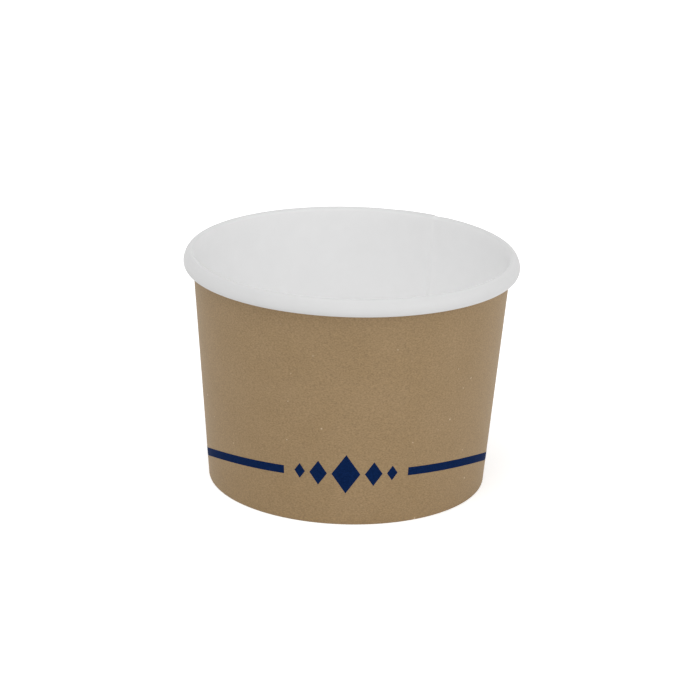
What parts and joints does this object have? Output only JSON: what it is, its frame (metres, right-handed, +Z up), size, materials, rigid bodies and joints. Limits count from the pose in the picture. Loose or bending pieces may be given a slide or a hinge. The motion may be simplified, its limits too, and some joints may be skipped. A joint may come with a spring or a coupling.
{
  "type": "paper bowl",
  "caption": "Tapered round paper bowl with a rolled white rim, kraft outside, white inside, a recessed base and a printed band.",
  "frame": {"origin": "on the table under the middle of the bowl, in the plane of the foot ring", "axes": "+Z up along the bowl's axis, -Y towards the front with the open stretch of the band, +X to the viewer's right"},
  "size_m": [0.09, 0.09, 0.0636],
  "materials": {
    "kraft_board": "matte kraft outside, white satin lining inside and over the rolled rim",
    "white_board": "white satin lining above, kraft below",
    "navy_ink": "matte printed ink"
  },
  "bodies": {
    "root": {"sidewall": "kraft_board", "base_disc": "white_board", "printed_band": "navy_ink"}
  },
  "joints": []
}
